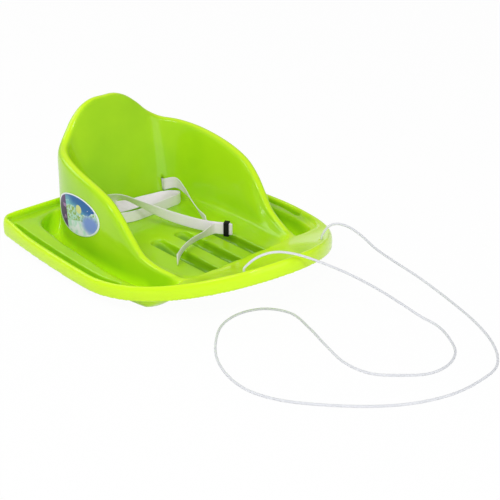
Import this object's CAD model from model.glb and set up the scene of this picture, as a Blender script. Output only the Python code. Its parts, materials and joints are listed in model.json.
import json
import math

import bmesh
import bpy
import numpy as np
from mathutils import Matrix, Vector
from mathutils.bvhtree import BVHTree
from mathutils.kdtree import KDTree

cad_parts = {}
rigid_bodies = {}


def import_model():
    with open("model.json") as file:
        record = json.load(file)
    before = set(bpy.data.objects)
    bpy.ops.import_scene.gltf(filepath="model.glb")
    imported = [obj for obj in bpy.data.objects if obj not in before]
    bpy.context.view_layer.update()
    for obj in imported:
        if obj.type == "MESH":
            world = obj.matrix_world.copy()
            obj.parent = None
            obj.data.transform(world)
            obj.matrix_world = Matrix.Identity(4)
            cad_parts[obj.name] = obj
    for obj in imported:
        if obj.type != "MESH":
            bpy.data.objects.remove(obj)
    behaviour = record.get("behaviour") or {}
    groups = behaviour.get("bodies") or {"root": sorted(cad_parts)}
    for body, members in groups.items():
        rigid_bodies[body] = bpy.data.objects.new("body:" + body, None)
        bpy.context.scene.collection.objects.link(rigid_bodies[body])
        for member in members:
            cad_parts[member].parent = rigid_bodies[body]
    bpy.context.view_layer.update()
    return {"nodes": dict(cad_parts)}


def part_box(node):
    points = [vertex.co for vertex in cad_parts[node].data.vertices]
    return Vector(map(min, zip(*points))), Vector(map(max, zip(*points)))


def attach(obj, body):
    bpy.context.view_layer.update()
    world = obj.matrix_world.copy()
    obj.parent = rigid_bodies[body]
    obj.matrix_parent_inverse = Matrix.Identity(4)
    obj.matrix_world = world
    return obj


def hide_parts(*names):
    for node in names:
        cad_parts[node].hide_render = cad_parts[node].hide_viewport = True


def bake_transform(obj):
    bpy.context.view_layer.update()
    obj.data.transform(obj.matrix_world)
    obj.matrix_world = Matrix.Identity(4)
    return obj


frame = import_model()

# baby pull sled: shell, grooves, webbing, slide, knots and the rope's route are laid out in
# millimetres, everything else is in metres
mm = 0.001

for spare in [o for o in bpy.context.scene.objects if o.name in ("Cube", "Light", "Camera")]:
    bpy.data.objects.remove(spare)

# camera: turn and tilt in degrees, lens and sensor in millimetres
view = {"eye": (-1.1104, -1.3599, 0.8564), "azimuth": -42.7, "elevation": 25.8, "lens": 79.03, "sensor": 36}

cameraData = bpy.data.cameras.new("camera")
cameraData.lens = view["lens"]
cameraData.sensor_width = view["sensor"]
camera = bpy.data.objects.new("camera", cameraData)
camera.location = view["eye"]
camera.rotation_euler = (math.radians(90 - view["elevation"]), 0, math.radians(view["azimuth"]))
bpy.context.scene.collection.objects.link(camera)
bpy.context.scene.camera = camera


# small helpers for lines, meshes and pieces
def smoothLine(points, perSpan):
    # a rounded line through the points that doesn't overshoot where they lie close together
    p = np.array(points, float)
    q = np.vstack([2 * p[0] - p[1], p, 2 * p[-1] - p[-2]])
    out = []
    for i in range(len(p) - 1):
        a, b, c, d = q[i:i + 4]
        ab, bc, cd = (np.linalg.norm(v[:3]) ** 0.5 for v in (b - a, c - b, d - c))
        t1 = ((b - a) / ab - (c - a) / (ab + bc) + (c - b) / bc) * bc
        t2 = ((c - b) / bc - (d - b) / (bc + cd) + (d - c) / cd) * bc
        for k in range(perSpan):
            t = k / perSpan
            out.append(b + t1 * t + (3 * (c - b) - 2 * t1 - t2) * t * t + (2 * (b - c) + t1 + t2) * t ** 3)
    out.append(p[-1])
    return np.array(out)


def lengthAlong(line):
    return np.concatenate([[0], np.cumsum(np.linalg.norm(np.diff(line[:, :3], axis=0), axis=1))])


def evenly(line, count):
    # even steps along a line, whatever columns it has
    reach = lengthAlong(line)
    at = np.linspace(0, reach[-1], count + 1)
    return np.stack([np.interp(at, reach, line[:, k]) for k in range(line.shape[1])], axis=1)


def unit(rows):
    return rows / np.linalg.norm(rows, axis=1, keepdims=True)


def mix(a, b, t):
    return a + (b - a) * t


def smooth(t):
    t = min(max(t, 0), 1)
    return t * t * (3 - 2 * t)


def shadeSmooth(mesh):
    mesh.polygons.foreach_set("use_smooth", [True] * len(mesh.polygons))


def newPiece(name, verts, faces, uvs=None):
    mesh = bpy.data.meshes.new(name)
    mesh.from_pydata([tuple(v) for v in verts], [], [tuple(f) for f in faces])
    if uvs is not None:
        layer = mesh.uv_layers.new(name="weave")
        for loop in mesh.loops:
            layer.data[loop.index].uv = uvs[loop.vertex_index]
    mesh.validate()
    shadeSmooth(mesh)
    piece = bpy.data.objects.new(name, mesh)
    bpy.context.scene.collection.objects.link(piece)
    return piece


def outwards(piece):
    # face normals point out of the closed body
    work = bmesh.new()
    work.from_mesh(piece.data)
    bmesh.ops.recalc_face_normals(work, faces=work.faces)
    work.to_mesh(piece.data)
    work.free()
    return piece


def modify(piece, kind, **settings):
    step = piece.modifiers.new(kind.lower(), kind)
    for key, value in settings.items():
        setattr(step, key, value)


def settle(piece):
    # modifiers become the mesh
    graph = bpy.context.evaluated_depsgraph_get()
    done = bpy.data.meshes.new_from_object(piece.evaluated_get(graph))
    piece.modifiers.clear()
    piece.data = done
    return piece


def carve(piece, tool, operation, solver="EXACT"):
    modify(piece, "BOOLEAN", operation=operation, solver=solver, object=tool)
    settle(piece)
    bpy.data.objects.remove(tool)
    return piece


def loftFaces(rows, around, closed=False, capped=True):
    # quads between rows of the same count, and an end face on each open end
    faces = []
    for i in range(rows if closed else rows - 1):
        low, high = i * around, ((i + 1) % rows) * around
        for k in range(around):
            n = (k + 1) % around
            faces.append((low + k, low + n, high + n, high + k))
    if capped and not closed:
        faces.append(tuple(range(around))[::-1])
        faces.append(tuple((rows - 1) * around + k for k in range(around)))
    return faces


# node maths: an expression on sockets adds its Math nodes
class Sock:
    def __init__(self, paint, link):
        self.paint, self.link = paint, link

    def maths(self, operation, *values):
        return self.paint.add("ShaderNodeMath", {"operation": operation}, *values)

    def __add__(self, b): return self.maths("ADD", self, b)
    def __radd__(self, b): return self.maths("ADD", b, self)
    def __sub__(self, b): return self.maths("SUBTRACT", self, b)
    def __rsub__(self, b): return self.maths("SUBTRACT", b, self)
    def __mul__(self, b): return self.maths("MULTIPLY", self, b)
    def __rmul__(self, b): return self.maths("MULTIPLY", b, self)
    def __truediv__(self, b): return self.maths("DIVIDE", self, b)
    def __rtruediv__(self, b): return self.maths("DIVIDE", b, self)
    def __lt__(self, b): return self.maths("LESS_THAN", self, b)
    def __gt__(self, b): return self.maths("GREATER_THAN", self, b)


class Paint:
    # a material with its shader, and one way to add any other node
    def __init__(self, name, **shader):
        self.material = bpy.data.materials.new(name)
        self.material.use_nodes = True
        self.tree = self.material.node_tree
        self.shader = self.tree.nodes["Principled BSDF"]
        for key, value in shader.items():
            self.shader.inputs[key].default_value = value

    def add(self, kind, settings, *values, out=0, **named):
        node = self.tree.nodes.new(kind)
        for key, value in settings.items():
            setattr(node, key, value)
        for key, value in [*enumerate(values), *named.items()]:
            self.feed(node.inputs[key.replace("_", " ") if isinstance(key, str) else key], value)
        return Sock(self, node.outputs[out])

    def feed(self, socket, value):
        if isinstance(value, Sock):
            self.tree.links.new(value.link, socket)
        elif value is not None:
            socket.default_value = value

    def set(self, name, value):
        self.feed(self.shader.inputs[name], value)

    def place(self):
        return self.add("ShaderNodeTexCoord", {}, out="Object")

    def near(self, name):
        return self.add("ShaderNodeAttribute", {"attribute_name": name}, out="Fac")

    def parts(self, vector):
        split = self.add("ShaderNodeSeparateXYZ", {}, vector)
        outs = split.link.node.outputs
        return [Sock(self, outs[k]) for k in range(3)]

    def noise(self, vector, scale, detail=3):
        return self.add("ShaderNodeTexNoise", {}, vector, None, scale, detail)

    def range(self, value, low, high):
        return self.add("ShaderNodeMapRange", {"interpolation_type": "SMOOTHSTEP"}, value, low, high)

    def wave(self, value, kind="SINE"):
        return self.add("ShaderNodeMath", {"operation": kind}, value)

    def blend(self, factor, a, b):
        # each colour is a socket or red, green and blue
        node = self.tree.nodes.new("ShaderNodeMix")
        node.data_type = "RGBA"
        self.feed(node.inputs[0], factor)
        for key, value in ((6, a), (7, b)):
            self.feed(node.inputs[key], (*value, 1) if isinstance(value, tuple) else value)
        return Sock(self, node.outputs[2])

    def bump(self, height, strength, distance):
        return self.add("ShaderNodeBump", {}, strength, distance, Height=height)


# pull rope: both ends go down through the nose, with a knot under each
ropeForm = {
    "diameter": 0.004, "sides": 14, "step": 0.0016, "rise": 0.005,
    "hole": (0.08685, -0.237, 0.08453), "ends": {-1: 0.08092, 1: 0.08153},
    "route": [
        (-77, -246, 104), (-65, -256, 113), (-49, -268, 117), (-32, -283, 115), (-14, -298, 108),
        (8, -318, 96), (38, -345, 77), (70, -374, 52), (98, -402, 26), (116, -428, 7), (118, -462, 2.4),
        (98, -502, 2.4), (75, -529, 2.4), (40, -544, 2.4), (1, -541, 2.4), (-35, -515, 2.4),
        (-63, -482, 2.4), (-69, -439, 2.4), (-53, -383, 2.4), (-34, -330, 2.4), (-22, -276, 2.4),
        (-42, -238, 2.4), (-82, -222, 2.4), (-128, -231, 2.4), (-176, -270, 2.4), (-205, -310, 2.4),
        (-222, -360, 2.4), (-223, -399, 2.4), (-207, -444, 2.4), (-165, -500, 2.4), (-116, -548, 2.4),
        (-68, -579, 2.4), (-14, -598, 2.4), (39, -602, 2.4), (82, -597, 2.4), (113, -578, 2.4),
        (143, -544, 2.4), (171, -494, 2.4), (193, -438, 2.4), (207, -384, 6), (201, -346, 20),
        (177, -316, 44), (154, -296, 67), (136, -281, 90), (120, -266, 106), (106, -253, 112),
        (95, -244, 108),
    ],
}


def turningFrame(line):
    # two cross directions that turn as little as they can along the line
    run = unit(np.gradient(line[:, :3], axis=0))
    side = np.cross(run[0], (0, 0, 1) if abs(run[0][2]) < 0.9 else (0, 1, 0))
    sides = []
    for t in run:
        side = side - t * side.dot(t)
        side /= np.linalg.norm(side)
        sides.append(side)
    sides = np.array(sides)
    return sides, np.cross(run, sides)


def tube(name, line, radius, around, closed=False):
    side, rise = turningFrame(line)
    if closed:
        run = unit(np.roll(line, -1, axis=0) - np.roll(line, 1, axis=0))
        rise = unit(np.cross(run, line - line.mean(axis=0)))
        side = np.cross(rise, run)
    turn = np.arange(around + 1) / around * 2 * math.pi
    reach = lengthAlong(line)
    verts, uvs = [], []
    for i, p in enumerate(line):
        for k in range(around):
            verts.append(p + radius * (math.cos(turn[k]) * side[i] + math.sin(turn[k]) * rise[i]))
            uvs.append((k / around, reach[i]))
    faces = loftFaces(len(line), around, closed)
    piece = newPiece(name, verts, faces)
    layer = piece.data.uv_layers.new(name="weave")
    for face in piece.data.polygons:
        spots = [uvs[v] for v in face.vertices]
        wraps = max(s[0] for s in spots) - min(s[0] for s in spots) > 0.5
        for loop, (u, v) in zip(face.loop_indices, spots):
            layer.data[loop].uv = (u + 1 if wraps and u < 0.5 else u, v)
    return outwards(piece)


def ropeEnd(side, form):
    # from just above the knot straight up through the skin
    x, y, skin = form["hole"]
    levels = (form["ends"][side], skin, skin + form["rise"] / 2, skin + form["rise"])
    return [(side * x, y, z) for z in levels]


def makeRope(form):
    laid = [tuple(v * mm for v in p) for p in form["route"]]
    points = ropeEnd(-1, form) + laid + ropeEnd(1, form)[::-1]
    line = smoothLine(points, 24)
    length = lengthAlong(line)[-1]
    line = evenly(line, round(length / form["step"]))
    rope = tube("rope", line, form["diameter"] / 2, form["sides"])
    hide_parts("pull_rope")
    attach(rope, "sled")
    return rope, line, length


rope, ropeLine, ropeLength = makeRope(ropeForm)
print("rope", round(ropeLength, 4), "m")


# shell: sizes in millimetres, shares without a unit
shellForm = {
    "length": 570, "width": 460, "backWidth": 433, "nose": 278, "noseExponent": 1.75, "corner": 28,
    "wall": 3, "deck": 38, "floor": 34,
    "rimWidth": 10, "rimHeight": 25, "rearRise": 7, "rearRun": 110, "rimGround": 16, "lipHeight": 26,
    "noseRise": 62, "noseBlend": 4, "noseOver": 1.5, "noseBow": 1.3, "landing": 2,
    "crestHeight": 238.5, "crestHalf": 10, "fillet": 7, "crestCorner": 26, "seatExponent": 3.2,
    "crestPlaces": (0, 0.05, 0.1, 0.15, 0.2, 0.25, 0.32, 0.45, 0.6, 0.68, 0.74, 0.79, 0.84, 0.9, 1),
    "crestHeights": (1, 0.998, 0.964, 0.893, 0.803, 0.755, 0.74, 0.704, 0.642, 0.583, 0.49, 0.377,
                     0.273, 0.224, 0.184),
    "tipThin": 0.6, "tipFrom": 0.67, "tipRun": 0.33, "crestDrop": 0.4, "roundIn": 0.72, "roundDown": 0.25,
    "wallShares": (0.35, 0.7), "wallBow": 0.85, "filletShare": 0.3, "troughShare": 0.2,
    "rimIn": (0.03, 0, 0.15, 0.5, 0.78, 0.94, 1.08), "rimUp": (0, 0.48, 0.82, 1, 0.9, 0.5, 0),
    "ridgePlaces": (0, 0.3, 0.45, 0.7, 0.85, 1), "ridgeShares": (0.3, 0.34, 0.3, 0.36, 0.52, 0.75),
    "ridgeDraft": 4, "troughFillet": 4,
    "runnerRear": 228, "rearRamp": 24, "runnerFront": -127, "frontRamp": 22,
    "noseColumns": 12, "seatColumns": 30, "finer": 4, "perSpan": 4, "samples": 121, "levelSteps": 40,
    "voxel": 1.6, "rounding": 7, "roundingShare": 0.5, "keep": 0.11, "brightSteps": 400,
    # where light comes through: the ring, its reach, and the first and last column
    "bright": ((0, 14, 0, 42), (1, 13, 0, 42), (2, 12, 0, 42), (3, 13, 0, 42), (17, 9, 13, 42),
               (12, 27, 16, 42), (1, 70, 0, 11), (8, 60, 0, 10), (13, 60, 0, 9), (10, 30, 10, 21)),
}
crestLine = {"side": 150, "frontSide": 128, "front": -138, "corner": 26, "middle": 20, "back": 240}
footLine = {"side": 163, "frontSide": 142, "front": -150, "corner": 52, "middle": 20, "back": 256}
floorLine = {"side": 124, "frontSide": 114, "front": -138, "corner": 26, "middle": 20, "back": 176}
widest = shellForm["nose"] - shellForm["length"] / 2
seatMiddle = (floorLine["back"] + floorLine["front"]) / 2


def deckLine(form):
    half, long = form["width"] / 2, form["length"] / 2
    back, corner, power = form["backWidth"] / 2, form["corner"], 2 / form["noseExponent"]
    turn = np.linspace(0, math.pi / 2, form["samples"])
    t = np.linspace(0, 1, form["samples"])[1:]
    nose = np.stack([half * np.sin(turn) ** power, widest - form["nose"] * np.cos(turn) ** power], 1)
    side = np.stack([mix(half, back, t * t), mix(widest, long - corner, t)], 1)
    bend = np.stack([np.cos(turn[1:]), np.sin(turn[1:])], 1) * corner + (back - corner, long - corner)
    return np.vstack([nose, side, bend, [[0, long]]])


def seatLine(form, line):
    turn = np.linspace(0, math.pi / 2, form["samples"])
    t = np.linspace(0, 1, form["samples"])[1:]
    corner, middle, back = line["corner"], line["middle"], line["back"]
    start = line["front"] + corner
    front = np.stack([line["frontSide"] - corner + corner * np.sin(turn), start - corner * np.cos(turn)], 1)
    side = np.stack([mix(line["side"], line["frontSide"], (1 - t) ** 2), mix(start, middle, t)], 1)
    power = 2 / form["seatExponent"]
    rear = np.stack([line["side"] * np.cos(turn[1:]) ** power,
                     middle + (back - middle) * np.sin(turn[1:]) ** power], 1)
    rear[-1, 0] = 0
    return np.vstack([[[0, line["front"]]], front, side, rear])


def columnsOf(line, split, form):
    # even over the nose up to the split, then even round the seat
    at = int(np.argmax(line[:, 1] >= split))
    nose = evenly(line[:at + 1], form["noseColumns"] * form["finer"])
    return np.vstack([nose, evenly(line[at:], form["seatColumns"] * form["finer"])[1:]])


def outOf(row):
    before, after = np.vstack([row[:1], row[:-1]]), np.vstack([row[1:], row[-1:]])
    before[0, 0], after[-1, 0] = -after[0, 0], -before[-1, 0]
    run = unit(after - before)
    return np.stack([run[:, 1], -run[:, 0]], 1)


def crestLevels(form):
    half = [(s, h, 0) for s, h in zip(form["crestPlaces"], form["crestHeights"])]
    line = smoothLine([(-s, h, 0) for s, h, _ in half[:0:-1]] + half, form["levelSteps"])
    return lambda share: form["crestHeight"] * float(np.interp(share, line[:, 0], line[:, 1]))


def troughLevel(form, y):
    # the trough's floor: flat on the ground, ramped up to the deck at both ends
    rear = smooth((form["runnerRear"] + form["rearRamp"] - y) / form["rearRamp"])
    front = smooth((y - form["runnerFront"] + form["frontRamp"]) / form["frontRamp"])
    return mix(form["deck"], form["wall"], rear * front)


def upperSkin(form):
    # half of the upper skin, as rings of columns from the rim in to the seat floor
    finer, lipRing = form["finer"], form["rimUp"].index(1)
    shoulder = crestLine["front"] + form["crestCorner"] / 2
    edge = columnsOf(deckLine(form), shoulder, form)
    foot, crest, floor = (columnsOf(seatLine(form, line), shoulder, form)
                          for line in (footLine, crestLine, floorLine))
    edgeOut, crestOut, level = outOf(edge), outOf(crest), crestLevels(form)
    deck, base, fillet, filletShare = (form[key] for key in ("deck", "floor", "fillet", "filletShare"))
    columns = []
    for i in range(len(edge)):
        at = i / finer
        noseWeight = smooth((form["noseColumns"] + form["noseOver"] - at) / form["noseBlend"])
        climb = min(max((widest - edge[i][1]) / form["nose"], 0), 1)
        low = form["rimGround"] + form["noseRise"] * climb * climb
        fromBack = edge[i][1] - form["length"] / 2
        rear = smooth((fromBack + form["rearRun"]) / (form["rearRun"] - form["corner"]))
        tall = mix(form["rimHeight"], form["lipHeight"], smooth(climb)) + form["rearRise"] * rear
        wing = min(max((form["noseColumns"] + form["seatColumns"] - at) / form["seatColumns"], 0), 1)
        top = level(wing)
        half = form["crestHalf"] * mix(1, form["tipThin"], smooth((wing - form["tipFrom"]) / form["tipRun"]))
        drop = min(half, max(top - deck, 0) * form["crestDrop"])
        out = crestOut[i]
        rings = []
        for j, (share, up) in enumerate(zip(form["rimIn"], form["rimUp"])):
            above = mix(deck, low + tall, up) if j > lipRing else low + tall * up
            rings.append([edge[i] - edgeOut[i] * share * form["rimWidth"], above])

        # the ridge, and the trough between it and the wall of the seat
        toe, inner = foot[i] + out * fillet, rings[-1][0]
        ridge = mix(toe, inner, float(np.interp(wing, form["ridgePlaces"], form["ridgeShares"])))
        wide = float(np.linalg.norm(toe - ridge))
        across = (toe - ridge) / wide
        draft, bend = (min(form[key], wide * form["troughShare"]) for key in ("ridgeDraft", "troughFillet"))
        sole = ridge + across * (draft + bend)
        soleUp, toeUp = troughLevel(form, sole[1]), troughLevel(form, toe[1])
        draftUp = soleUp + min(bend, (deck - soleUp) * filletShare)
        heelUp = toeUp + min(fillet, max(top - toeUp, 0) * filletShare)
        rings += [[mix(inner, ridge, 0.5), deck], [ridge, deck], [ridge + across * draft, draftUp],
                  [sole, soleUp], [toe, toeUp], [foot[i], heelUp]]

        # up the outside of the wall, over the crest and down to the floor
        reach, side, roundUp = out * half, top - drop, top - drop * form["roundDown"]
        inset, outer = reach * form["roundIn"], crest[i] + reach
        rings += [[mix(foot[i], outer, t ** form["wallBow"]), mix(heelUp, side, t)]
                  for t in form["wallShares"]]
        rings += [[outer, side], [crest[i] + inset, roundUp]]
        crestRing = len(rings)
        inner, innerUp = crest[i] - reach, base + min(fillet, (top - base) * filletShare)
        rings += [[crest[i], top], [crest[i] - inset, roundUp], [inner, side]]
        rings += [[mix(inner, floor[i], t), mix(side, innerUp, t)] for t in form["wallShares"]]
        rings += [[floor[i], innerUp], [floor[i] - out * fillet, base]]

        # over the nose the same rings run down one slope from the lip to the seat floor
        last, lip = len(rings) - 1, rings[lipRing]
        landing = max(top, base + form["landing"])
        end = rings[last][0]
        for j in range(lipRing + 1, last + 1):
            t = min((j - lipRing) / (crestRing - lipRing), 1)
            s = max((j - crestRing) / (last - crestRing), 0)
            if j <= crestRing:
                plan = mix(lip[0], crest[i], t)
                height = landing + (lip[1] - landing) * (1 - t) ** form["noseBow"]
            else:
                plan, height = mix(crest[i], end, s), mix(landing, base, s)
            rings[j] = [mix(rings[j][0], plan, noseWeight), mix(rings[j][1], height, noseWeight)]
        line = np.array([[*p, z] for p, z in rings])
        line = np.vstack([line, mix(np.array([0, seatMiddle, base]), line[-1], 0.5)])
        columns.append(smoothLine(line, form["perSpan"]))
    return np.array(columns)


def mouldedSkin(form):
    # the upper skin, the same skin moved in by the wall, and the strip that joins them at the rim
    half = upperSkin(form)
    columns = np.vstack([half, half[-2:0:-1] * (-1, 1, 1)])
    count, rings = columns.shape[:2]
    points = columns.transpose(1, 0, 2).reshape(-1, 3)
    points = np.vstack([points, [(0, seatMiddle, form["floor"])]])
    under, last = len(points), (rings - 1) * count
    faces = loftFaces(rings, count, capped=False)
    faces += [(last + i, last + (i + 1) % count, under - 1) for i in range(count)]
    normals = np.zeros_like(points)
    for face in faces:
        a, b, c = points[list(face[:3])]
        normals[list(face)] += np.cross(b - a, c - a)
    normals[:count, 2] = 0
    verts = np.vstack([points, points - unit(normals) * form["wall"]]) * mm
    faces += [tuple(k + under for k in face[::-1]) for face in faces]
    faces += [(i, i + under, (i + 1) % count + under, (i + 1) % count) for i in range(count)]
    return outwards(newPiece("shell", verts, faces))


# grooves in the deck and floor
grooveForm = {
    "endSteps": 10, "bottomSteps": 5, "path": 24, "overrun": 40,
    "rim": {"half": 5.5, "gap": 1, "depth": 13, "radius": 3.5, "lip": 1.5, "start": -70, "end": 255},
    "floor": {"half": 12.5, "depth": 18, "radius": 8, "lip": 4, "pitch": 53, "start": -124.5, "end": 21.5,
              "ramp": {"from": -25, "run": 60, "rise": 10, "top": 29},
              "shadeDepth": 0.8, "shade": 19, "frontRun": 50, "frontShade": 30, "shadeSteps": 80},
}


def channel(path, half, bottom, top, radius, form, lip=0, skin=0, ramp=None):
    # straight sides, round ends and a rounded bottom along a level path; the ramp lifts one end
    run = unit(np.gradient(path, axis=0))
    across = np.stack([run[:, 1], -run[:, 0]], 1)

    def outline(reach):
        ends = []
        for at, way in ((path[-1], run[-1]), (path[0], -run[0])):
            side = np.array([way[1], -way[0]])
            turns = [k / form["endSteps"] * math.pi for k in range(1, form["endSteps"])]
            ends.append([at + reach * (side * math.cos(a) + way * math.sin(a)) for a in turns])
        return [*(path + across * reach), *ends[0], *(path - across * reach)[::-1], *ends[1]]

    rows = []
    for k in range(form["bottomSteps"] + 1):
        a = math.pi / 2 * (1 - k / form["bottomSteps"])
        rows.append((half - radius * (1 - math.cos(a)), bottom + radius * (1 - math.sin(a))))
    if lip:
        for k in range(form["bottomSteps"] + 1):
            a = math.pi / 2 * k / form["bottomSteps"]
            rows.append((half + lip * (1 - math.cos(a)), skin - lip + lip * math.sin(a)))
    rows.append((rows[-1][0], top))

    def raised(y, z):
        if ramp is None or z > ramp["top"]:
            return z
        share = smooth((y - ramp["from"]) / ramp["run"])
        return z + ramp["rise"] * share * (ramp["top"] - z) / (ramp["top"] - bottom)

    verts = [(x * mm, y * mm, raised(y, z) * mm) for reach, z in rows for x, y in outline(reach)]

    # bottom and top as strips across the path with a fan at each end, as the ramp bends them
    around, count, bend = len(verts) // len(rows), len(path), form["endSteps"] - 1
    far = count + bend
    strip = [(i, i + 1, far + count - 2 - i, far + count - 1 - i) for i in range(count - 1)]
    strip += [tuple(range(count - 1, far + 1)), (*range(far + count - 1, around), 0)]
    faces = loftFaces(len(rows), around, capped=False) + [face[::-1] for face in strip]
    faces += [tuple((len(rows) - 1) * around + k for k in face) for face in strip]
    return outwards(newPiece("channel", verts, faces))


def grooves(form, own):
    wall, rim, low = form["wall"], own["rim"], own["floor"]
    edge = deckLine(form)
    edge = edge[(edge[:, 1] > rim["start"]) & (edge[:, 1] < rim["end"])]
    fromEdge = form["rimWidth"] + rim["gap"] + rim["half"]
    rimPath = evenly((edge - outOf(edge) * fromEdge)[1:-1], own["path"])
    rows = [(rimPath * (side, 1), rim, form["deck"]) for side in (1, -1)]
    for side in (-1, 0, 1):
        x = side * low["pitch"]
        floorPath = evenly(np.array([[x, low["start"]], [x, low["end"]]]), own["path"])
        rows.append((floorPath, low, form["floor"]))
    outside, inside = [], []
    for path, groove, skin in rows:
        half, bottom, radius = groove["half"], skin - groove["depth"], groove["radius"]
        ramp = groove.get("ramp")
        outer = half + wall + groove["lip"] / 2
        outside.append(channel(path, outer, bottom - wall, skin - wall / 2, radius, own, ramp=ramp))
        above = skin + own["overrun"]
        inside.append(channel(path, half, bottom, above, radius, own, groove["lip"], skin, ramp))
    return outside, inside


def ringLines(form, rings):
    # the lines on the skin that the edge colour fades from, and how far it reaches
    skin, finer = upperSkin(form), form["finer"]
    spans = [(skin[first * finer:last * finer + 1, ring * form["perSpan"]], reach)
             for ring, reach, first, last in rings]
    return [(evenly(line, form["brightSteps"]), reach) for line, reach in spans]


def grooveLines(form, own):
    # near the bottom of each floor groove, and again with a longer reach at its front
    low = own["floor"]
    deep = form["floor"] - low["depth"] * low["shadeDepth"]
    spans = (low["end"], low["shade"]), (low["start"] + low["frontRun"], low["frontShade"])
    return [(evenly(np.array([[x, low["start"], deep], [x, end, deep]]), low["shadeSteps"]), reach)
            for x in (0, low["pitch"]) for end, reach in spans]


def markNear(piece, name, lines):
    # a share at every vertex: 1 on the lines, fading over their reach
    spots = np.array([v.co for v in piece.data.vertices]) / mm
    spots[:, 0] = np.abs(spots[:, 0])
    most = np.zeros(len(spots))
    for line, reach in lines:
        tree = KDTree(len(line))
        for k, p in enumerate(line):
            tree.insert(p, k)
        tree.balance()
        away = np.array([tree.find(p)[2] for p in spots])
        most = np.maximum(most, 1 - np.clip(away / reach, 0, 1))
    piece.data.attributes.new(name, "FLOAT", "POINT").data.foreach_set("value", most)


def makeShell(form):
    shell = mouldedSkin(form)
    outside, inside = grooves(form, grooveForm)
    for piece in outside:
        carve(shell, piece, "UNION", "MANIFOLD")
    for piece in inside:
        carve(shell, piece, "DIFFERENCE", "MANIFOLD")
    print("shell cut", len(shell.data.polygons), "faces")
    modify(shell, "REMESH", mode="VOXEL", voxel_size=form["voxel"] * mm, use_smooth_shade=True)
    modify(shell, "SMOOTH", factor=form["roundingShare"], iterations=form["rounding"])
    modify(shell, "DECIMATE", ratio=form["keep"])
    settle(shell)
    print("shell even", len(shell.data.polygons), "faces")
    return shell


shell = makeShell(shellForm)


# slots for the belt and holes for the rope, cut clean after the softening
slotForm = {
    "tall": 0.024, "wide": 0.0046, "deep": 0.016, "drill": 0.0024, "drillReach": 0.02, "drillSides": 24,
    "right": {"at": (-0.078284, 0.172224, 0.062), "out": (0.4457, -0.8301, 0.3352)},
    "left": {"at": (0.078284, 0.172224, 0.062), "out": (-0.4457, -0.8301, 0.3352)},
}


def wallFrame(side):
    # directions at a slot: out of the wall, level along it, and up it
    own = slotForm[side]
    out = Vector(own["out"]).normalized()
    level = Vector((-out.y, out.x, 0)).normalized()
    return Vector(own["at"]), out, level, out.cross(level)


def cutOut(shell, name, verts):
    # takes the bar between two end outlines out of the shell
    carve(shell, outwards(newPiece(name, verts, loftFaces(2, len(verts) // 2))), "DIFFERENCE")


def cutSlots(shell):
    for side in ("right", "left"):
        at, out, level, rise = wallFrame(side)
        half, tall, deep = slotForm["wide"] / 2, slotForm["tall"] / 2, slotForm["deep"] / 2
        corners = (-half, -tall), (half, -tall), (half, tall), (-half, tall)
        verts = [at + out * a + level * b + rise * c for a in (-deep, deep) for b, c in corners]
        cutOut(shell, "slot", verts)
    for side in (-1, 1):
        x, y, z = ropeForm["hole"]
        around, radius, reach = slotForm["drillSides"], slotForm["drill"], slotForm["drillReach"]
        turn = [k / around * 2 * math.pi for k in range(around)]
        verts = [(side * x + radius * math.cos(a), y + radius * math.sin(a), up)
                 for up in (z - reach, z + reach) for a in turn]
        cutOut(shell, "drill", verts)


cutSlots(shell)
shadeSmooth(shell.data)
markNear(shell, "thin", ringLines(shellForm, shellForm["bright"]))
markNear(shell, "dip", grooveLines(shellForm, grooveForm))
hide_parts("sled_shell")
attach(shell, "sled")


# lime green polyethylene: waxy, yellower where light comes through, darker in the floor grooves
plasticLook = {
    "colour": (0.44, 0.77, 0.01), "deep": (0.35, 0.68, 0.008), "thin": (0.63, 0.95, 0.012),
    "dip": (0.15, 0.38, 0.004), "roughness": 0.24, "cloudy": 0.08, "grainy": 0.05,
    "fine": 900, "broad": 9, "bump": (0.2, 0.0008),
    "shader": {"Subsurface Weight": 0.12, "Subsurface Scale": 0.004, "Subsurface Radius": (0.6, 1, 0.1),
               "Specular IOR Level": 0.12, "Coat Weight": 0.5, "Coat Roughness": 0.07, "Coat IOR": 1.43},
}


def makePlastic(look):
    paint = Paint("limePlastic", **look["shader"])
    place = paint.place()
    cloud, grain = paint.noise(place, look["broad"]), paint.noise(place, look["fine"], 2)
    edge = paint.range(paint.near("thin"), 0.1, 0.75)
    dip = paint.range(paint.near("dip"), 0.05, 0.8)
    body = paint.blend(paint.range(cloud, 0.3, 0.8), look["colour"], look["deep"])
    body = paint.blend(dip, body, look["dip"])
    paint.set("Base Color", paint.blend(edge, body, look["thin"]))
    paint.set("Roughness", look["roughness"] + look["cloudy"] * cloud + look["grainy"] * grain)
    paint.set("Normal", paint.bump(grain * 0.3 + cloud, *look["bump"]))
    return paint.material


plastic = makePlastic(plasticLook)
shell.data.materials.clear()
shell.data.materials.append(plastic)
print("shell done", len(shell.data.polygons))


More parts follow.
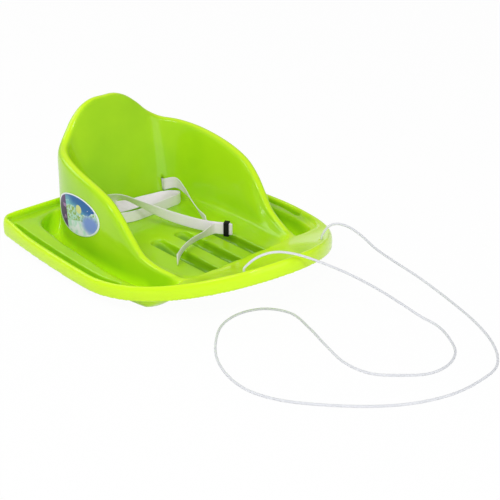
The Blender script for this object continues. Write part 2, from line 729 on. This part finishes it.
# belt: white webbing on edge from a bar behind each slot, through the slide and back as the tail
beltForm = {
    "width": 21, "thick": 1.3, "perSpan": 10, "step": 2.5, "bar": 3, "barBack": 8.1, "slack": 0.3,
    "rightRun": [(-67, 132, 88, 34), (-57, 118, 91, 42), (-38, 89, 81, 30), (-13, 50, 66, 8),
                 (14, 10, 55, 0)],
    "leftRun": [(82, 138, 74, 2), (76, 100, 68, 20), (66, 66, 58, 32), (57, 38, 50.5, 22),
                (46, 10, 49.5, 6), (33, -9, 49.5, 0)],
    "tailRun": [(22, -27, 48.5, -14), (2, -30, 47.5, -28), (-28, -36, 46.5, -26),
                (-58, -50, 45.5, -16), (-87, -72, 45, 0)],
    "slackRun": [(-69.2, 169, 64.4, 0), (-58, 157, 60, 0), (-36, 154, 55, -24), (-8, 158, 50, -48),
                 (19, 160, 48, -54), (44, 156, 47, -46), (66, 151, 46.5, -20), (82, 144, 45.5, -4),
                 (88, 134, 45.5, 0), (78, 127, 45.5, 0), (60, 125, 45.5, 0), (36, 123, 45.5, 0),
                 (4, 120, 45.5, 0), (-24, 119, 45.5, 0), (-46, 124, 45.5, 0), (-60, 132, 45.5, 0)],
    # half of the strap's outline as shares of its width and thickness
    "section": ((-1, 0.35), (-0.96, 0.8), (-0.8, 1), (-0.4, 1), (0, 1), (0.4, 1), (0.8, 1), (0.96, 0.8),
                (1, 0.35)),
    "loopSection": ((-1, 0.35), (-0.94, 0.9), (0, 1), (0.94, 0.9), (1, 0.35)),
    # through the slot: how far out of the wall, and how far towards the strap's side
    "start": ((-6.5, 2.2), (-3.5, 1.0), (0, 0.75), (3, 0.6)), "pivot": 14,
    "slotHold": 6, "slotEase": 18, "blendStart": 4, "blendRun": 20,
    # round the bar: the way in, then a turn in even steps of degrees
    "loopStart": ((2, 0.75), (0, 0.75), (-3, 1.1)),
    "loopSpots": 13, "loopFrom": 62, "loopStep": 19.7, "loopPerSpan": 4,
}
slideForm = {"at": (50, -42, 49.5), "heading": -55, "length": 9.5, "tall": 26, "wall": 2.2, "travel": 12,
             "layer": 2.4, "play": 0.3, "lead": 4, "fold": 4.5, "short": 2, "bevel": 0.7, "bevelSteps": 3}


def fromSlide(ahead, beside):
    a = math.radians(slideForm["heading"])
    x, y, z = slideForm["at"]
    return (x + math.cos(a) * ahead - math.sin(a) * beside,
            y + math.sin(a) * ahead + math.cos(a) * beside, z, 0)


def webbingBody(name, rows, half, scale):
    # rows: place, direction of the width, direction of the face, length so far
    section = [*half, *((w, -t) for w, t in half[::-1])]
    wide, thick = beltForm["width"] / 2 * mm / scale, beltForm["thick"] / 2 * mm / scale
    verts = [(at + up * w * wide + face * t * thick) * scale for at, up, face, _ in rows for w, t in section]
    uvs = [(w * wide * scale, reach * scale) for *_, reach in rows for w, t in section]
    return outwards(newPiece(name, verts, loftFaces(len(rows), len(section)), uvs))


def ribbon(name, line, startUp=None):
    # webbing with soft edges along x, y, z in millimetres and lean in degrees
    path = smoothLine(line, beltForm["perSpan"])
    path = evenly(path, round(lengthAlong(path)[-1] / beltForm["step"]))
    reach = lengthAlong(path)
    run = unit(np.gradient(path[:, :3], axis=0))
    hold, ease = beltForm["slotHold"], beltForm["slotEase"]
    rows = []
    for i, (x, y, z, lean) in enumerate(path):
        way = Vector(run[i])
        face = Vector((way.y, -way.x, 0)).normalized()
        up = face.cross(way).normalized()
        if up.z < 0:
            up.negate()
        if startUp is not None and reach[i] < hold + ease:
            keep = 1 - smooth((reach[i] - hold) / ease)
            up = up.lerp(Vector(startUp), keep)
            up = (up - way * up.dot(way)).normalized()
            face = way.cross(up) if way.cross(up).dot(face) > 0 else up.cross(way)
        turn = Matrix.Rotation(math.radians(lean), 3, way)
        rows.append((Vector((x, y, z)), turn @ up, turn @ face, reach[i]))
    return webbingBody(name, rows, beltForm["section"], mm)


def strapStart(side):
    # from beside the bar out through the slot to the pivot of the lift
    at, out, level, rise = wallFrame(side)
    toward = level if side == "left" else -level
    points = [at + out * a * mm + toward * b * mm for a, b in beltForm["start"]]
    points.append(at + out * beltForm["pivot"] * mm)
    return [(*(p / mm), 0) for p in points], rise, at, out


def makeBelts():
    own, slide, layer = beltForm, slideForm, slideForm["layer"]
    straight = slide["length"] / 2 + slide["travel"] + slide["lead"]
    fold = slide["length"] / 2 + slide["fold"]
    near, far = own["blendStart"] * mm, (own["blendStart"] + own["blendRun"]) * mm
    start, rise, at, out = strapStart("right")
    through = [(-straight, 0), (-straight / 2, 0), (0, 0), (fold, 0), (fold + layer / 2, -layer / 2),
               (fold, -layer), (0, -layer), (-straight / 2, -layer), (-straight, -layer)]
    spots = [fromSlide(*spot) for spot in through]
    right = ribbon("beltRight", [*start, *own["rightRun"], *spots, *own["tailRun"]], rise)
    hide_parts("belt_right")
    tuple(at + out * near)
    tuple(at + out * far)
    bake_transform(right)
    start, rise, at, out = strapStart("left")
    spots = [fromSlide(ahead, layer) for ahead in (-straight, -straight / 2, 0, fold - slide["short"])]
    left = ribbon("beltLeft", [*start, *own["leftRun"], *spots], rise)
    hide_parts("belt_left")
    tuple(at + out * near)
    tuple(at + out * far)
    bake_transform(left)
    slack = ribbon("beltSlack", own["slackRun"])
    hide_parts("belt_slack")
    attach(slack, "sled")
    loops = []
    for side in ("right", "left"):
        at, out, level, rise = wallFrame(side)
        toward = -level if side == "left" else level
        middle = at - out * own["barBack"] * mm
        reach = (own["bar"] + own["slack"] + own["thick"] / 2) * mm
        points = [at + out * a * mm + toward * b * mm for a, b in own["loopStart"]]
        for k in range(own["loopSpots"]):
            a = math.radians(own["loopFrom"] + k * own["loopStep"])
            points.append(middle + out * reach * math.cos(a) + toward * reach * math.sin(a))
        loops.append(loopRibbon(f"beltLoop{side.title()}", [tuple(p) for p in points], rise))
        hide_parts(f"belt_loop_{side}")
        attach(loops[-1], "sled")
    return [right, left, slack, *loops]


def loopRibbon(name, line, rise):
    # webbing whose width runs along rise all the way
    path = smoothLine(line, beltForm["loopPerSpan"])
    rows = [(Vector(p), rise, Vector(run).cross(rise).normalized(), reach)
            for p, run, reach in zip(path, np.gradient(path, axis=0), lengthAlong(path))]
    return webbingBody(name, rows, beltForm["loopSection"], 1)


belts = makeBelts()
print("belts", len(belts))


def makeSlide(form):
    # three layers of webbing pass through it
    half = form["layer"] * 1.5 + form["play"] + form["wall"]
    tall, long = form["tall"] / 2, form["length"] / 2
    inner, innerTall = half - form["wall"], tall - form["wall"]
    ring = [(-half, -tall), (half, -tall), (half, tall), (-half, tall)]
    window = [(-inner, -innerTall), (inner, -innerTall), (inner, innerTall), (-inner, innerTall)]
    verts = []
    for ahead, row in ((-long, ring), (long, ring), (long, window), (-long, window)):
        for beside, up in row:
            x, y, z, _ = fromSlide(ahead, beside)
            verts.append((x * mm, y * mm, (z + up) * mm))
    piece = outwards(newPiece("beltSlide", verts, loftFaces(4, 4, closed=True)))
    modify(piece, "BEVEL", width=form["bevel"] * mm, segments=form["bevelSteps"], limit_method="ANGLE")
    settle(piece)
    shadeSmooth(piece.data)
    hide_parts("belt_slide")
    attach(piece, "slide")
    return piece


slide = makeSlide(slideForm)


# knots: a turn of the same rope under each hole
knotForm = {"reach": 4.6, "pitch": 2.4, "steps": 120, "around": 12, "upright": (0.097, 0.468, 0.878)}


def makeKnots(form):
    knots = []
    x, y, z = form["upright"]
    for name in ("right", "left"):
        low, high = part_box(f"rope_knot_{name}")
        normal = Vector((x if name == "left" else -x, y, z)).normalized()
        turn = Vector((0, 0, 1)).rotation_difference(normal)
        line = []
        for k in range(form["steps"]):
            t = k / form["steps"] * 2 * math.pi
            r = form["reach"] + form["pitch"] * math.cos(3 * t)
            spot = Vector((r * math.cos(2 * t), r * math.sin(2 * t), form["pitch"] * math.sin(3 * t)))
            line.append(turn @ spot * mm)
        line = np.array([tuple(p) for p in line])
        middle = (np.array(low) + np.array(high)) / 2
        line += middle - (line.min(axis=0) + line.max(axis=0)) / 2
        knot = tube(f"knot{name.title()}", line, ropeForm["diameter"] / 2, form["around"], closed=True)
        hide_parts(f"rope_knot_{name}")
        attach(knot, "sled")
        knots.append(knot)
    return knots


knots = makeKnots(knotForm)


# white braided webbing: ribs across the strap and a tight over-and-under in each
webbingLook = {
    "colour": (0.98, 0.89, 1.0), "shade": (0.9, 0.8, 0.94), "rib": 0.0011, "yarn": 0.0009,
    "selvedge": (0.0088, 0.0094), "broad": 60, "bump": (0.5, 0.0003),
    "shader": {"Roughness": 0.62, "Sheen Weight": 0.25, "Sheen Roughness": 0.4},
}


def makeWebbing(look):
    paint = Paint("whiteWebbing", **look["shader"])
    across, along, _ = paint.parts(paint.add("ShaderNodeUVMap", {"uv_map": "weave"}))
    ribs = paint.wave(along * (2 * math.pi / look["rib"]))
    half = paint.wave(along * (1 / look["rib"]), "FLOOR")
    yarns = paint.wave(across * (2 * math.pi / look["yarn"]) + half * math.pi)
    weave = ribs * 0.35 + yarns * ribs * 0.3 + 0.5
    selvedge = paint.range(paint.wave(across, "ABSOLUTE"), *look["selvedge"])
    cloud = paint.noise(paint.place(), look["broad"])
    tone = paint.range(weave * 0.6 + cloud * 0.4 - selvedge * 0.15, 0.1, 0.7)
    paint.set("Base Color", paint.blend(tone, look["shade"], look["colour"]))
    paint.set("Normal", paint.bump(weave, *look["bump"]))
    return paint.material


webbing = makeWebbing(webbingLook)
for piece in belts:
    piece.data.materials.append(webbing)


# rope: white braid, strands that cross both ways round the cord
ropeLook = {
    "colour": (0.84, 0.85, 0.88), "shade": (0.52, 0.54, 0.6), "pitch": 0.0055, "strands": 4,
    "broad": 90, "bump": (0.6, 0.0004), "shader": {"Roughness": 0.55, "Sheen Weight": 0.2},
}


def makeRopePaint(look):
    paint = Paint("whiteBraid", **look["shader"])
    around, along, _ = paint.parts(paint.add("ShaderNodeUVMap", {"uv_map": "weave"}))
    lay = along * (2 * math.pi / look["pitch"])
    turn = around * (2 * math.pi * look["strands"])
    strands = paint.wave(paint.wave(turn + lay) * paint.wave(turn - lay), "ABSOLUTE")
    cloud = paint.noise(paint.place(), look["broad"])
    tone = paint.range(strands + cloud * 0.3, 0.05, 0.6)
    paint.set("Base Color", paint.blend(tone, look["shade"], look["colour"]))
    paint.set("Normal", paint.bump(strands, *look["bump"]))
    return paint.material


braid = makeRopePaint(ropeLook)
for piece in (rope, *knots):
    piece.data.materials.append(braid)


# black polypropylene of the slide and the bars
blackLook = {
    "colour": (0.005, 0.005, 0.006), "worn": (0.014, 0.014, 0.016), "shader": {"Specular IOR Level": 0.15},
    "roughness": 0.5, "grainy": 0.16, "fine": 1400, "broad": 80, "bump": (0.2, 0.0002),
}


def makeBlack(look):
    paint = Paint("blackPlastic", **look["shader"])
    place = paint.place()
    grain, cloud = paint.noise(place, look["fine"], 2), paint.noise(place, look["broad"])
    paint.set("Base Color", paint.blend(paint.range(cloud, 0.4, 0.8), look["colour"], look["worn"]))
    paint.set("Roughness", look["roughness"] + grain * look["grainy"])
    paint.set("Normal", paint.bump(grain, *look["bump"]))
    return paint.material


black = makeBlack(blackLook)
slide.data.materials.append(black)
for name in ("belt_bar_right", "belt_bar_left"):
    frame["nodes"][name].material_slots[0].material = black
print("belt, slide and rope dressed")


# oval label laid on the wall of the right wing, with its art drawn in its own plane
labelForm = {"at": (0.114, 0.088), "long": 0.15, "tall": 0.074, "lean": -8, "gap": 0.0005, "thick": 0.0003,
             "from": -0.4, "rings": 26, "spokes": 128}


def makeLabel(form, wall):
    tree = BVHTree.FromPolygons([v.co for v in wall.data.vertices], [p.vertices for p in wall.data.polygons])
    turn = math.radians(form["lean"])
    spots, flat, outs = [], [], []
    for i in range(form["rings"]):
        share = (i + 0.5) / (form["rings"] - 0.5)
        for k in range(form["spokes"]):
            a = k / form["spokes"] * 2 * math.pi
            u, v = share * math.cos(a), share * math.sin(a)
            y, z = u * form["long"] / 2, v * form["tall"] / 2
            y, z = (form["at"][0] + y * math.cos(turn) - z * math.sin(turn),
                    form["at"][1] + y * math.sin(turn) + z * math.cos(turn))
            point, normal, _, _ = tree.ray_cast(Vector((form["from"], y, z)), Vector((1, 0, 0)))
            spots.append(point)
            outs.append(normal)
            flat.append((u * 0.5 + 0.5, v * 0.5 + 0.5))
    out = sum(outs, Vector()).normalized()
    verts = [p + out * (form["gap"] + form["thick"]) for p in spots] + [p + out * form["gap"] for p in spots]
    around, count = form["spokes"], len(spots)
    top = loftFaces(form["rings"], around, capped=False) + [tuple(range(around))[::-1]]
    under = [tuple(count + v for v in face[::-1]) for face in top]
    last = (form["rings"] - 1) * around
    edge = [(last + k, last + (k + 1) % around, count + last + (k + 1) % around, count + last + k)
            for k in range(around)]
    label = outwards(newPiece("label", verts, top + under + edge, flat + flat))
    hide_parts("oval_label")
    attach(label, "sled")
    return label


label = makeLabel(labelForm, shell)

labelLook = {
    "edge": (0.86, 0.89, 0.92), "sky": (0.2, 0.56, 0.62), "deepSky": (0.01, 0.12, 0.4),
    "dusk": (0.09, 0.008, 0.17), "lilac": (0.42, 0.18, 0.52), "hill": (0.5, 0.74, 0.66),
    "moss": (0.3, 0.46, 0.1), "snow": (0.84, 0.84, 0.92), "iris": (0.2, 0.3, 0.72),
    "sun": (0.72, 0.74, 0.28), "cloudScale": 2.2, "patchScale": 5.5,
    "shader": {"Roughness": 0.4, "Specular IOR Level": 0.3},
    # hills: rate, start, height of the wave; spots: place, narrowness; flakes and dots: scale, size
    "farHill": (5.2, 0.6, 0.16), "nearHill": (3.1, 2.2, 0.12), "farLevel": 0.12, "nearLevel": -0.36,
    "flakes": (5.5, 0.2), "flakesFrom": -0.3, "dots": (3.1, 0.3), "duskFrom": 0.4666, "border": 0.88,
    "sunSpot": (-0.18, 0.34, 3.2), "sunSize": 0.045, "irisSpot": (-0.62, -0.3, 1.6),
}


def makeLabelPaint(look):
    # sky, hills, snowfall and a dusky end inside a white border
    paint = Paint("printedVinyl", **look["shader"])
    u, v, _ = paint.parts(paint.add("ShaderNodeUVMap", {"uv_map": "weave"}))
    u, v = u * 2 - 1, v * 2 - 1
    plane = paint.add("ShaderNodeCombineXYZ", {}, u * 1.8, v)
    cloud, patch = paint.noise(plane, look["cloudScale"]), paint.noise(plane, look["patchScale"], 2)

    def hill(key):
        rate, start, tall = look[key]
        return paint.wave(u * rate + start) * tall

    def away(key):
        x, y, narrow = look[key]
        return (u - x) * (u - x) * narrow + (v - y) * (v - y)

    def cells(key):
        scale, size = look[key]
        return paint.add("ShaderNodeTexVoronoi", {}, plane, Scale=scale) < size

    height = v * 0.7 - u * 0.5 + cloud * 0.4
    art = paint.blend(paint.range(height, 0.25, 0.75), look["sky"], look["deepSky"])
    grown = paint.blend(paint.range(patch, 0.42, 0.56), look["moss"], look["hill"])
    art = paint.blend(v < hill("farHill") + patch * 0.3 + look["farLevel"], art, grown)
    bare = paint.blend(paint.range(cloud, 0.4, 0.6), look["snow"], look["hill"])
    art = paint.blend(v < hill("nearHill") + look["nearLevel"], art, bare)
    art = paint.blend(cells("flakes") * (v > look["flakesFrom"]), art, look["snow"])
    art = paint.blend(away("sunSpot") < look["sunSize"], art, look["sun"])
    evening = paint.blend(cells("dots"), look["dusk"], look["lilac"])
    art = paint.blend(u > look["duskFrom"], art, evening)
    art = paint.blend(paint.range(away("irisSpot"), 0.34, 0.05), art, look["iris"])
    paint.set("Base Color", paint.blend((u * u + v * v) > look["border"], art, look["edge"]))
    paint.set("Normal", paint.bump(cloud, 0.1, 0.0002))
    return paint.material


label.data.materials.append(makeLabelPaint(labelLook))
print("label dressed")


# studio: pale floor and backdrop that the camera sees as white, soft lamps
studio = {
    "floorSize": 6, "white": 1.0, "world": 0.46, "floorWhite": 0.97, "aim": (0, 0, 0.1),
    "floorTones": ((0.86, 0.86, 0.86), (0.9, 0.9, 0.9)), "floorScale": 3, "floorRoughness": 0.9,
    "key": {"place": (-1.4, -0.3, 2.2), "size": 0.9, "power": 15},
    "fill": {"place": (-0.5, -2.1, 0.7), "size": 1.4, "power": 9},
    "spark": {"place": (-0.9, -1.3, 1.6), "size": 0.12, "power": 9},
    "rim": {"place": (-0.8, 1.8, 1.6), "size": 1.2, "power": 12},
}


def makeStudio(form):
    size = form["floorSize"]
    corners = (-size, -size, 0), (size, -size, 0), (size, size, 0), (-size, size, 0)
    floor = newPiece("floor", corners, [(0, 1, 2, 3)])
    paint = Paint("floorPaint", Roughness=form["floorRoughness"])
    cloud = paint.noise(paint.place(), form["floorScale"])
    paint.set("Base Color", paint.blend(cloud, *form["floorTones"]))
    rays = paint.add("ShaderNodeLightPath", {}).link.node.outputs
    seen = sum((Sock(paint, rays[name]) for name in ("Is Glossy Ray", "Is Transmission Ray")),
               Sock(paint, rays["Is Camera Ray"]))
    glow = paint.add("ShaderNodeEmission", {}, (1, 1, 1, 1), form["white"])
    lit = Sock(paint, paint.shader.outputs[0])
    both = paint.add("ShaderNodeMixShader", {}, seen * form["floorWhite"], lit, glow)
    paint.feed(paint.tree.nodes["Material Output"].inputs["Surface"], both)
    floor.data.materials.append(paint.material)
    world = bpy.data.worlds.new("world")
    world.use_nodes = True
    bpy.context.scene.world = world
    tree = world.node_tree
    back, rays = tree.nodes["Background"], tree.nodes.new("ShaderNodeLightPath")
    strength = tree.nodes.new("ShaderNodeMath")
    strength.operation = "MULTIPLY_ADD"
    tree.links.new(rays.outputs["Is Camera Ray"], strength.inputs[0])
    strength.inputs[1].default_value = form["white"] - form["world"]
    strength.inputs[2].default_value = form["world"]
    tree.links.new(strength.outputs[0], back.inputs["Strength"])
    back.inputs["Color"].default_value = (1, 1, 1, 1)
    for name in ("key", "fill", "spark", "rim"):
        own = form[name]
        lamp = bpy.data.lights.new(name, "AREA")
        lamp.energy, lamp.size = own["power"], own["size"]
        holder = bpy.data.objects.new(name, lamp)
        holder.location = own["place"]
        toward = Vector(form["aim"]) - Vector(own["place"])
        holder.rotation_euler = toward.to_track_quat("-Z", "Y").to_euler()
        bpy.context.scene.collection.objects.link(holder)


makeStudio(studio)
bpy.context.scene.view_settings.view_transform = "Standard"
